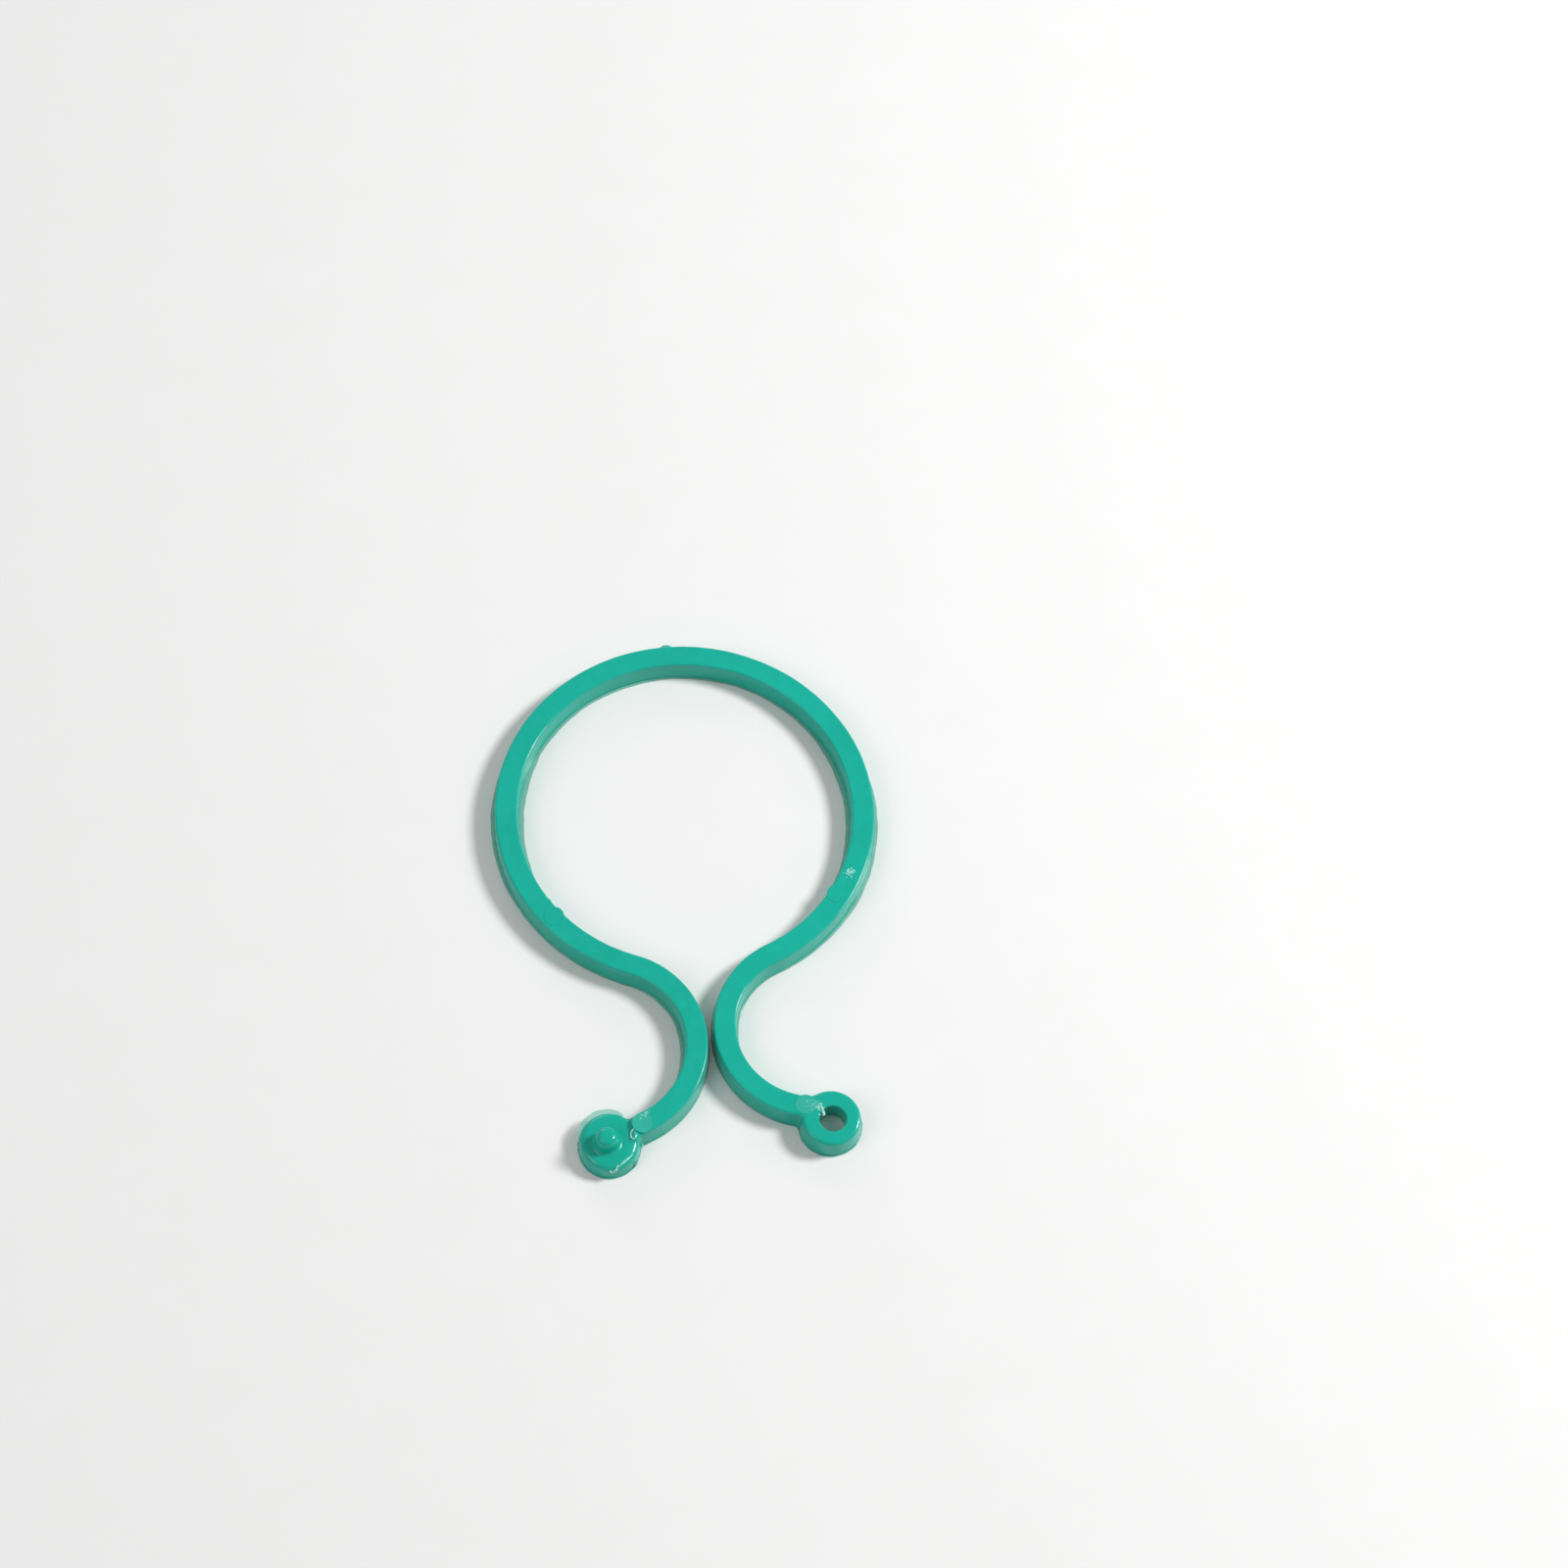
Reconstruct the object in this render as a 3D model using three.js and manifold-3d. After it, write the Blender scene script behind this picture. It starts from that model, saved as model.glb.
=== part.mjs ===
// Spring clip leg band: one moulding shaped like an omega. A round leg ring runs from the crown
// down both flanks, turns back at two necks and ends in two outward tails. The left tail carries a
// disc with an upright stud, the right tail carries the eyelet that the stud snaps into.
//
// Frame, in millimetres: the band lies flat in XY with its flat underside at z = 0, the crown
// towards +Y and the stud on top, +Z. The origin is the middle of the outline, on the underside.
// The moulding flexes along its whole length. It is divided into links that meet at small knuckles,
// at which the flexing is gathered: upright knuckles open the ring, level ones lift the arms.

import * as THREE from 'three';
import { mergeVertices } from 'three/addons/utils/BufferGeometryUtils.js';
import Module from 'manifold-3d';

const wasm = await Module();
wasm.setup();

// Band
const RING_R = 13.7; // centreline of the leg ring
const NECK_R = 6.64; // bend that turns each arm outward, from the ring to the waist
const BASE_W = 2.0; // band width at the parting line, on the underside
const TOP_W = 1.66; // width across the top face
const BAND_T = 1.8; // thickness
const LAND = 0.1; // upright strip at the parting line
const EDGE_R = 0.16; // rounding of the top edges
const WAIST_GAP = 0.16; // free space between the two arms at the waist

// Ends of the arms
const DISC_T = 1.5; // the stud disc is thinner than the band
const SHOULDER_R = 0.45; // rounding of the discs' upper edge
const STUD_BASE_R = 0.98;
const STUD_TIP_R = 0.84;
const STUD_TOP = 2.8; // height of the stud's tip above the underside
const HOLE_R = 1.0;
const HOLE_FLARE = 0.2; // rounding of the hole's rim

// Left by the mould
const NUB = [1.0, 0.25, 1.3]; // gate vestige on the crown: width, height over the wall, length along Z
const PIN_R = 0.8; // ejector pin marks
const PIN_RISE = 0.06;

// The two arms. The end disc's centre lies below the tail's lowest point by drop, and outboard of
// it by reach. The stud or hole lies outboard of the disc's centre by hub[0] and below it by hub[1].
// pinAt is where a mould pin pushed on the tail, in degrees round the tail's bend.
const ARMS = [
  {
    name: 'stud', side: -1, tailR: 7.13, discR: 2.3, drop: 0.61, reach: 0.07, hub: [0.23, 0.18],
    pinAt: 160,
  },
  {
    name: 'eyelet', side: 1, tailR: 6.58, discR: 2.34, drop: 0.98, reach: 0.47, hub: [0.09, 0.1],
    pinAt: 168.5,
  },
];
const [STUD_ARM, EYELET_ARM] = ARMS;

// Links, in degrees round the ring from the crown
const OPEN_AT = 40; // upright knuckle, opens the ring
const LIFT_AT = 75; // level knuckle, lifts the arm
const FOLLOW_AT = 110; // upright knuckle, opens with the first
const UPRIGHT_R = 0.7; // knuckle about an upright axis
const LEVEL_R = 0.55; // knuckle about a level axis
const RUNNING = 0.12; // clearance round a knuckle
const SOCKET_LIP = 0.3; // the socket's link stops this far short of the axis
const KNUCKLE_NECK = 0.2; // the knuckle's link starts this far past it
const PIECE_GAP = 0.1; // between neighbouring pieces of one rigid link

const STEP = 0.75; // length of one facet along the band
const ROUND = 48; // facets round a disc
const MATERIAL = { color: 0x1cb29f, roughness: 0.36, metalness: 0 };

const rad = THREE.MathUtils.degToRad;

// The neck bend touches the ring where the curve turns over, so the two centres and the point of
// contact lie on one line. The tail bend follows on at the waist, from a centre at the same height.
const WAIST_X = (BASE_W + WAIST_GAP) / 2;
const NECK_X = WAIST_X + NECK_R;
const TURN = Math.asin(NECK_X / (RING_R + NECK_R));
const NECK_Y = -(RING_R + NECK_R) * Math.cos(TURN);

function discOf({ side, tailR, drop, reach }) {
  return new THREE.Vector2(side * (WAIST_X + tailR + reach), NECK_Y - tailR - drop);
}

function hubOf(arm) {
  const [outboard, below] = arm.hub;
  return discOf(arm).add(new THREE.Vector2(arm.side * outboard, RING_Y - below));
}

const TOP_Y = RING_R + BASE_W / 2 + NUB[1];
const BOTTOM_Y = Math.min(...ARMS.map((arm) => discOf(arm).y - arm.discR));
const RING_Y = -(TOP_Y + BOTTOM_Y) / 2; // ring centre, from the middle of the outline

const RING_LENGTH = RING_R * (Math.PI - TURN);
const NECK_LENGTH = NECK_R * (Math.PI / 2 - TURN);

// Centreline of an arm by its length from the crown: round the ring, round the neck to the waist,
// then round the tail.
class ArmLine extends THREE.Curve {
  constructor(arm, from, to) {
    super();
    Object.assign(this, { arm, from, to });
  }

  getPoint(t, target = new THREE.Vector3()) {
    const { side, tailR } = this.arm;
    const s = this.from + (this.to - this.from) * t;
    if (s <= RING_LENGTH) {
      const a = s / RING_R;
      return target.set(side * RING_R * Math.sin(a), RING_Y + RING_R * Math.cos(a), 0);
    }
    const beyond = s - RING_LENGTH;
    const inNeck = beyond <= NECK_LENGTH;
    const r = inNeck ? NECK_R : tailR;
    const b = inNeck ? TURN + beyond / r : Math.PI / 2 + (beyond - NECK_LENGTH) / r;
    return target.set(
      side * (WAIST_X + r - r * Math.sin(b)),
      RING_Y + NECK_Y + r * Math.cos(b),
      0,
    );
  }
}

const alongRing = (degrees) => RING_R * rad(degrees);

// Length from the crown to a place on the tail bend: 90 is the waist, 180 the lowest point.
const alongTail = (arm, degrees) => RING_LENGTH + NECK_LENGTH + arm.tailR * rad(degrees - 90);

// Band section: drafted walls that widen down to the parting line, a flat top with rounded edges.
// An extrusion along a level path takes its shape's x downwards and its y to the path's left.
function bandSection() {
  const foot = BASE_W / 2;
  const brow = TOP_W / 2;
  const slope = (foot - brow) / (BAND_T - LAND);
  const s = new THREE.Shape();
  s.moveTo(0, foot);
  s.lineTo(-LAND, foot);
  s.lineTo(-(BAND_T - EDGE_R), brow + EDGE_R * slope);
  s.quadraticCurveTo(-BAND_T, brow, -BAND_T, brow - EDGE_R);
  s.lineTo(-BAND_T, EDGE_R - brow);
  s.quadraticCurveTo(-BAND_T, -brow, -(BAND_T - EDGE_R), -(brow + EDGE_R * slope));
  s.lineTo(-LAND, -foot);
  s.lineTo(0, -foot);
  s.closePath();
  return s;
}

// Turns a closed three.js geometry into a solid, with its faces pointing out.
function solid(geometry) {
  const bare = geometry.clone();
  bare.deleteAttribute('normal');
  bare.deleteAttribute('uv');
  const merged = mergeVertices(bare, 1e-4);
  const corners = merged.attributes.position.array;
  const faces = [];
  let volume = 0;
  const at = (i) => new THREE.Vector3().fromArray(corners, 3 * i);
  for (let i = 0; i < merged.index.count; i += 3) {
    const face = [0, 1, 2].map((k) => merged.index.getX(i + k));
    if (new Set(face).size < 3) continue;
    const [a, b, c] = face.map(at);
    volume += a.dot(b.cross(c));
    faces.push(face);
  }
  const outward = volume > 0 ? faces : faces.map((face) => face.reverse());
  const mesh = new wasm.Mesh({
    numProp: 3,
    vertProperties: new Float32Array(corners),
    triVerts: new Uint32Array(outward.flat()),
  });
  return new wasm.Manifold(mesh);
}

function named(name, shape) {
  const { vertProperties, triVerts } = shape.getMesh();
  const geometry = new THREE.BufferGeometry();
  geometry.setAttribute('position', new THREE.BufferAttribute(vertProperties, 3));
  geometry.setIndex(new THREE.BufferAttribute(triVerts, 1));
  geometry.computeVertexNormals();
  const mesh = new THREE.Mesh(geometry, new THREE.MeshStandardMaterial(MATERIAL));
  mesh.name = name;
  return mesh;
}

function band(line) {
  const steps = Math.max(1, Math.round((line.to - line.from) / STEP));
  return solid(new THREE.ExtrudeGeometry(bandSection(), {
    steps,
    bevelEnabled: false,
    curveSegments: 3,
    extrudePath: line,
  }));
}

// Solid of revolution about an upright axis through (x, y), from [radius, height] pairs
function turned(profile, x, y, facets = ROUND) {
  const points = profile.map(([r, z]) => new THREE.Vector2(r, z));
  const geometry = new THREE.LatheGeometry(points, facets);
  return solid(geometry.rotateX(Math.PI / 2).translate(x, y, 0));
}

function upright(radius, x, y, low, high, facets = ROUND) {
  return turned([[0, low], [radius, low], [radius, high], [0, high]], x, y, facets);
}

// Quarter-round from [r, z] to [r + dr, z + dz], leaving along Z and arriving along the radius
function rounding(r, z, dr, dz, count = 4) {
  return Array.from({ length: count + 1 }, (_, i) => {
    const a = (i / count) * (Math.PI / 2);
    return [r + dr * (1 - Math.cos(a)), z + dz * Math.sin(a)];
  });
}

// Knuckle cylinder at a place on the arm. An upright one pins the link in the band's plane,
// a level one lies across the band.
function knuckle(arm, degrees, radius, level) {
  const a = rad(degrees);
  const point = new ArmLine(arm, 0, alongRing(degrees)).getPoint(1);
  const cylinder = new THREE.CylinderGeometry(radius, radius, 3 * BASE_W, 24);
  if (level) cylinder.rotateZ(-arm.side * a);
  else cylinder.rotateX(Math.PI / 2);
  return solid(cylinder.translate(point.x, point.y, BAND_T / 2));
}

const KNUCKLES = [
  { at: OPEN_AT, radius: UPRIGHT_R, level: false },
  { at: LIFT_AT, radius: LEVEL_R, level: true },
  { at: FOLLOW_AT, radius: UPRIGHT_R, level: false },
];

// The side of a link nearer the tail: it ends in a socket for the next link's knuckle.
function withSocket(arm, body, { at, radius, level }) {
  return body.subtract(knuckle(arm, at, radius + RUNNING, level));
}

// The side of a link nearer the crown: the band beyond the axis, and the knuckle round the axis.
function withKnuckle(arm, body, { at, radius, level }) {
  const reach = radius + RUNNING;
  const core = band(new ArmLine(arm, alongRing(at) - reach, alongRing(at) + reach));
  return body.add(core.intersect(knuckle(arm, at, radius, level)));
}

const socketEnd = ({ at }) => alongRing(at) - SOCKET_LIP;
const knuckleStart = ({ at }) => alongRing(at) + KNUCKLE_NECK;

// The mark of a mould pin: a low disc, wide enough to pass the inner edge of the top face
function pinMark(line, shift) {
  const point = line.getPoint(1);
  const tangent = line.getTangent(1);
  const x = point.x - tangent.y * shift;
  const y = point.y + tangent.x * shift;
  return upright(PIN_R, x, y, BAND_T - PIN_RISE, BAND_T + PIN_RISE, 24);
}

function crown() {
  const end = socketEnd(KNUCKLES[0]);
  const arc = band(new ArmLine(EYELET_ARM, -end, end));
  const [width, height, length] = NUB;
  const wall = RING_R + BASE_W / 2;
  const nub = new THREE.BoxGeometry(width, height + BASE_W / 4, length);
  nub.translate(0, RING_Y + wall + height / 2 - BASE_W / 8, length / 2);
  const socketed = ARMS.reduce((body, arm) => withSocket(arm, body, KNUCKLES[0]), arc);
  return named('crown_band', socketed.add(solid(nub)));
}

function link(arm, name, start, end) {
  const line = new ArmLine(arm, knuckleStart(start), socketEnd(end));
  return named(`${arm.name}_${name}`, withSocket(arm, withKnuckle(arm, band(line), start), end));
}

const PIN_MARK_AT = 127; // degrees round the ring
const PIN_MARK_SHIFT = 0.2; // towards the inside of the bend

function neck(arm) {
  const start = KNUCKLES[2];
  const body = band(new ArmLine(arm, knuckleStart(start), alongTail(arm, 90) - PIECE_GAP));
  const mark = pinMark(new ArmLine(arm, 0, alongRing(PIN_MARK_AT)), -arm.side * PIN_MARK_SHIFT);
  return named(`${arm.name}_neck`, withKnuckle(arm, body, start).add(mark));
}

function tail(arm) {
  const disc = discOf(arm);
  const body = band(new ArmLine(arm, alongTail(arm, 90), alongTail(arm, 176)));
  const mark = pinMark(new ArmLine(arm, 0, alongTail(arm, arm.pinAt)), arm.side * PIN_MARK_SHIFT);
  const clear = upright(arm.discR + PIECE_GAP, disc.x, RING_Y + disc.y, -BAND_T, 2 * BAND_T);
  return named(`${arm.name}_tail`, body.add(mark).subtract(clear));
}

// Half profile of an end disc: drafted wall and a rounded upper edge
function discProfile(radius, thickness) {
  const draft = 0.12;
  const rim = rounding(radius - draft, thickness - SHOULDER_R, -SHOULDER_R, SHOULDER_R);
  return [[0, 0], [radius, 0], [radius, LAND], ...rim, [0, thickness]];
}

function studDisc(arm) {
  const disc = discOf(arm);
  return named('stud_disc', turned(discProfile(arm.discR, DISC_T), disc.x, RING_Y + disc.y));
}

function studPost(arm) {
  const { x, y } = hubOf(arm);
  const foot = DISC_T + PIECE_GAP / 4;
  const tip = rounding(STUD_TIP_R, STUD_TOP - 0.3, -0.3, 0.3);
  const profile = [[0, foot], [STUD_BASE_R, foot], ...tip, [0, STUD_TOP]];
  return named('stud_post', turned(profile, x, y, 32));
}

function eyeletRing(arm) {
  const disc = discOf(arm);
  const flare = HOLE_R + HOLE_FLARE;
  const low = rounding(HOLE_R, HOLE_FLARE, HOLE_FLARE, -HOLE_FLARE).reverse();
  const high = rounding(HOLE_R, BAND_T - HOLE_FLARE, HOLE_FLARE, HOLE_FLARE);
  const profile = [[0, -1], [flare, -1], ...low, ...high, [flare, BAND_T + 1], [0, BAND_T + 1]];
  const { x, y } = hubOf(arm);
  const hole = turned(profile, x, y);
  const ring = turned(discProfile(arm.discR, BAND_T), disc.x, RING_Y + disc.y);
  return named('eyelet_ring', ring.subtract(hole));
}

const legBand = new THREE.Group();
legBand.add(crown());
for (const arm of ARMS) {
  legBand.add(link(arm, 'shoulder', KNUCKLES[0], KNUCKLES[1]));
  legBand.add(link(arm, 'flank', KNUCKLES[1], KNUCKLES[2]));
  legBand.add(neck(arm), tail(arm));
}
legBand.add(studDisc(STUD_ARM), studPost(STUD_ARM), eyeletRing(EYELET_ARM));

export default legBand;
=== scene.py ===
"""Spring clip leg band in teal polypropylene: one flexible moulding, laid flat on a pale floor."""

import math

import bmesh
import bpy
import numpy as np
from mathutils import Matrix, Vector


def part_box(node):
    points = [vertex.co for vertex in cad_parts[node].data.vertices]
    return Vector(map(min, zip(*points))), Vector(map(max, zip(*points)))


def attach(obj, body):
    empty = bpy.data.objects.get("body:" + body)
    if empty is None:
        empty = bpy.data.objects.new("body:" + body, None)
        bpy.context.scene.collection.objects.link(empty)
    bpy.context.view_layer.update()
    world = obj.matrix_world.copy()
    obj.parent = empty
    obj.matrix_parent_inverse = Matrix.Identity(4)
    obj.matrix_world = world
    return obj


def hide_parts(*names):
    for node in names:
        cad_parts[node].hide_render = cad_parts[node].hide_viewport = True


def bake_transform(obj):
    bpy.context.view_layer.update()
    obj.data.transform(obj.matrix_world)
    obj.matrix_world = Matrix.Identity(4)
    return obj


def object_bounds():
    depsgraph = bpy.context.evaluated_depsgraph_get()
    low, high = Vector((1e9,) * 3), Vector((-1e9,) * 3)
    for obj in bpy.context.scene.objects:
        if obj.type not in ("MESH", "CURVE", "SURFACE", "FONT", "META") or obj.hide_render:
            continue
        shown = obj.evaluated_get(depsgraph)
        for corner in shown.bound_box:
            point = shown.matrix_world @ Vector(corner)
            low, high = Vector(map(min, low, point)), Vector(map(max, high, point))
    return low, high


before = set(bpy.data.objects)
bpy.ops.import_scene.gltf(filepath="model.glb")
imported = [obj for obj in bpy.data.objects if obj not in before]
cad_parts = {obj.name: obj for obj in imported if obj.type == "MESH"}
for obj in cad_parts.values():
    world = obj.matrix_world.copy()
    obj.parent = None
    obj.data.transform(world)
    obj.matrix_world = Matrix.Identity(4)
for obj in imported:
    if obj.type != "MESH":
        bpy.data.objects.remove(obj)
CAD_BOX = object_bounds()

MM = 0.001  # lengths below are in millimetres, the scene is in metres

# Driving dimensions of the centreline and the ends, as the CAD has them
RING_R = 13.7
NECK_R = 6.64
WAIST_X = 1.08  # half the distance between the two centrelines at the waist
CAD_BASE_W = 2.0
NUB_RISE = 0.25
BAND_T = 1.8
DISC_T = 1.5
STUD_TOP = 2.8
STUD_BASE_R = 0.98
STUD_TIP_R = 0.84
HOLE_R = 1.0
ARMS = {
    "stud": dict(side=-1, tail_r=7.13, disc_r=2.3, drop=0.61, reach=0.07, hub=(0.23, 0.18)),
    "eyelet": dict(side=1, tail_r=6.58, disc_r=2.34, drop=0.98, reach=0.47, hub=(0.09, 0.1)),
}

# Where the visible stretches of band meet, in degrees round the ring, then round the tail
STRETCHES = (17.0, 57.5, 92.5, 123.5)
SEAM = 150.0

# Surface of the moulding
RING_FOOT = 0.99  # half width of the solid band at the parting line, round the ring
TAIL_FOOT = 0.96  # and along the tails
DRAFT = 0.15  # how far a wall leans in over its height
EDGE = 0.15  # softness of the top edges
TOP_SINK = 0.02  # how far the middle of the band's top has sunk, over this half width
SINK_REACH = 0.8
DISC_STRETCH = 1.045  # the stud's disc is slightly oval
DISC_CROWN = 0.012  # the disc's top falls away by this much times the distance squared
STEP_IN = 1.35  # where the tail's top begins to rise from the disc's, and over what length
STEP_RUN = 0.6
HUB_FILLET = 0.34  # softness of the joint between the stud and its disc
STUD_DOME = 0.56  # and of the stud's top edge
HOLE_EDGE = 0.13  # and of the rim of the hole
STUD_SOFT = 0.5  # softness of the top edge of the stud's disc
EYELET_SOFT = 0.3  # and of the eyelet's
MARK_TURN = 127  # pin marks on the ring, in degrees round it, and their distance inward
MARK_IN = 0.2
STUD_MARK_TURN = 160  # pin marks on the tails, in degrees round them
EYELET_MARK_TURN = 168.5
NUB_SINK = 0.14  # how deep the gate vestige is rooted in the wall
NUB_Z = 1.08
STEP = 0.2  # facet length along the band
GRID = 0.05  # grid of the modelled ends
FIN_T = 0.03  # thickness of the flash at its edge
FIN_ROOT = 0.1  # and where it leaves the wall
SLIVER_SIDES = 8  # facets round a torn sliver, and sections along it
SLIVER_SECTIONS = 40
SPECK_SIDES = 7  # facets round a torn speck
# Width of the flash round the parting line, as (length from the crown, width)
FLASH = {
    ("stud", "outer"): ((0, 0.04), (12, 0.07), (21, 0.2), (28, 0.12), (38, 0.07), (46, 0.26), (53, 0.05)),
    ("stud", "inner"): ((0, 0.12), (9, 0.2), (20, 0.36), (27, 0.2), (34, 0.05), (45, 0.03), (53, 0.08)),
    ("eyelet", "outer"): ((0, 0.04), (12, 0.06), (22, 0.28), (30, 0.2), (37, 0.1), (45, 0.12), (53, 0.05)),
    ("eyelet", "inner"): ((0, 0.12), (10, 0.16), (21, 0.32), (27, 0.2), (34, 0.05), (45, 0.03), (53, 0.08)),
}

TURN = math.asin((WAIST_X + NECK_R) / (RING_R + NECK_R))
NECK_Y = -(RING_R + NECK_R) * math.cos(TURN)
RING_LENGTH = RING_R * (math.pi - TURN)
NECK_LENGTH = NECK_R * (math.pi / 2 - TURN)
RING_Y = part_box("crown_band")[1].y / MM - (RING_R + CAD_BASE_W / 2 + NUB_RISE)


def along_ring(degrees):
    return RING_R * math.radians(degrees)


def along_tail(arm, degrees):
    return RING_LENGTH + NECK_LENGTH + ARMS[arm]["tail_r"] * math.radians(degrees - 90)


def centreline(arm, s):
    """Points and normals at lengths s from the crown. The normal points to the outside of the ring."""
    side, tail_r = ARMS[arm]["side"], ARMS[arm]["tail_r"]
    s = np.asarray(s, float)
    past = s - RING_LENGTH
    in_ring, in_neck = past <= 0, past <= NECK_LENGTH
    radius = np.where(in_neck, NECK_R, tail_r)
    bend = np.where(in_neck, TURN + past / NECK_R, math.pi / 2 + (past - NECK_LENGTH) / tail_r)
    turn = s / RING_R
    x = np.where(in_ring, RING_R * np.sin(turn), WAIST_X + radius - radius * np.sin(bend))
    y = np.where(in_ring, RING_R * np.cos(turn), NECK_Y + radius * np.cos(bend))
    nx = np.where(in_ring, np.sin(turn), np.sin(bend))
    ny = np.where(in_ring, np.cos(turn), -np.cos(bend))
    return np.stack([side * x, RING_Y + y], -1), np.stack([side * nx, ny], -1)


def place(arm, s, q=0.0):
    """The point at length s, q out from the centreline."""
    point, normal = centreline(arm, s)
    return point + q * normal


def tail_centre(arm):
    a = ARMS[arm]
    return np.array([a["side"] * (WAIST_X + a["tail_r"]), RING_Y + NECK_Y])


def disc_centre(arm):
    a = ARMS[arm]
    return tail_centre(arm) + np.array([a["side"] * a["reach"], -a["tail_r"] - a["drop"]])


def hub_centre(arm):
    """Middle of the stud or of the hole."""
    outboard, below = ARMS[arm]["hub"]
    return disc_centre(arm) + np.array([ARMS[arm]["side"] * outboard, -below])


def ease(t):
    t = np.clip(t, 0, 1)
    return t * t * (3 - 2 * t)


def ripple(s, seed):
    """A smooth uneven signal between about -1 and 1."""
    waves = ((0.9, 1.0), (2.3, 0.6), (5.1, 0.45), (11.0, 0.3))
    return sum(w * np.sin(f * s + 1.7 * seed * (i + 1)) for i, (f, w) in enumerate(waves)) / 1.6


def smax(a, b, k):
    h = np.clip(0.5 + 0.5 * (a - b) / k, 0, 1)
    return a * h + b * (1 - h) + k * h * (1 - h)


def smin(a, b, k):
    return -smax(-a, -b, k)


def band_field(q, z, foot):
    """Below zero inside the band's section: q across the band, z up."""
    wall = (np.abs(q) - foot + DRAFT * z / BAND_T) / math.hypot(1, DRAFT / BAND_T)
    sink = TOP_SINK * (1 - np.clip(np.abs(q) / SINK_REACH, 0, 1) ** 2)
    return smax(wall, z - BAND_T + sink, EDGE)


# Meshes


def mesh_object(name, points, faces):
    mesh = bpy.data.meshes.new(name)
    mesh.from_pydata((np.asarray(points) * MM).tolist(), [], faces)
    obj = bpy.data.objects.new(name, mesh)
    bpy.context.scene.collection.objects.link(obj)
    tidy(obj)
    return obj


def tidy(obj, sharp=50):
    """Faces outward, smooth shading, and sharp edges where two faces meet at more than sharp degrees."""
    bm = bmesh.new()
    bm.from_mesh(obj.data)
    bmesh.ops.recalc_face_normals(bm, faces=bm.faces)
    for face in bm.faces:
        face.smooth = True
    for edge in bm.edges:
        if len(edge.link_faces) == 2:
            edge.smooth = edge.calc_face_angle() < math.radians(sharp)
    bm.to_mesh(obj.data)
    bm.free()


def section_rows():
    """The section round the band, as (q / foot, z, kind). 'face' points are moved onto band_field."""
    floor = [(0.45, 0.0, "floor"), (0.86, 0.0, "floor"), (1.0, 0.0, "floor")]
    fin = [(1.0, 0.004, "fin"), (1.0, FIN_T, "fin")]
    wall = [(1.0, z, "face") for z in (FIN_ROOT, 0.3, 0.65, 1.0, 1.3, 1.5)]
    brow = [(0.85, 1.6, "face"), (0.84, 1.68, "face"), (0.82, 1.73, "face"), (0.78, 1.77, "face")]
    top = [(0.73, 1.8, "face"), (0.56, 1.8, "face"), (0.28, 1.8, "face")]
    right = floor + fin + wall + brow + top
    left = [(-q, z, kind) for q, z, kind in reversed(right)]
    return [(0.0, 0.0, "floor"), *right, (0.0, BAND_T, "face"), *left]


SECTION = section_rows()


def foot_at(arm, s):
    """Half width of the solid band at the parting line."""
    length = np.abs(np.asarray(s, float))
    start = along_ring(120)
    taper = ease((length - start) / (along_tail(arm, 90) - start))
    quiet = 1 - ease((length - along_tail(arm, 120)) / 2)
    return RING_FOOT + (TAIL_FOOT - RING_FOOT) * taper + 0.01 * ripple(ARMS[arm]["side"] * s, 3) * quiet


def fin_at(arm, s, outer):
    """Width of the flash along the parting line."""
    s = np.asarray(s, float)
    owner = np.where(s < 0, "stud" if arm == "eyelet" else "eyelet", arm)
    width = np.zeros(s.shape)
    for name in ARMS:
        at, wide = zip(*FLASH[name, "outer" if outer else "inner"])
        width = np.where(owner == name, np.interp(np.abs(s), at, wide), width)
    uneven = ripple(ARMS[arm]["side"] * s * 0.4, 2 if outer else 5)
    fray = ripple(ARMS[arm]["side"] * s * 1.4, 8 if outer else 9)
    return width * (1 + 0.18 * uneven + 0.05 * fray)


def onto_section(q, z, foot):
    """Moves points in the section's plane onto band_field = 0."""
    step = 1e-4
    for _ in range(8):
        f = band_field(q, z, foot)
        dq = (band_field(q + step, z, foot) - f) / step
        dz = (band_field(q, z + step, foot) - f) / step
        norm = np.maximum(dq * dq + dz * dz, 1e-6)
        q, z = q - f * dq / norm, z - f * dz / norm
    return q, z


def band_rings(arm, s):
    """The section at each length in s, in the row frame."""
    point, normal = centreline(arm, s)
    foot = foot_at(arm, s)[:, None]
    share, height, kind = (np.array(column) for column in zip(*SECTION))
    q0 = share[None, :] * foot
    z0 = np.repeat(height[None, :], len(s), 0)
    q, z = onto_section(q0, z0, foot)
    face, fin = kind == "face", kind == "fin"
    q, z = np.where(face, q, q0), np.where(face, z, z0)
    reach = np.where(share > 0, fin_at(arm, s, True)[:, None], fin_at(arm, s, False)[:, None])
    q = np.where(fin, q + np.sign(q) * reach, q)
    xy = point[:, None, :] + q[..., None] * normal[:, None, :]
    return np.concatenate([xy, z[..., None]], -1)


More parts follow.
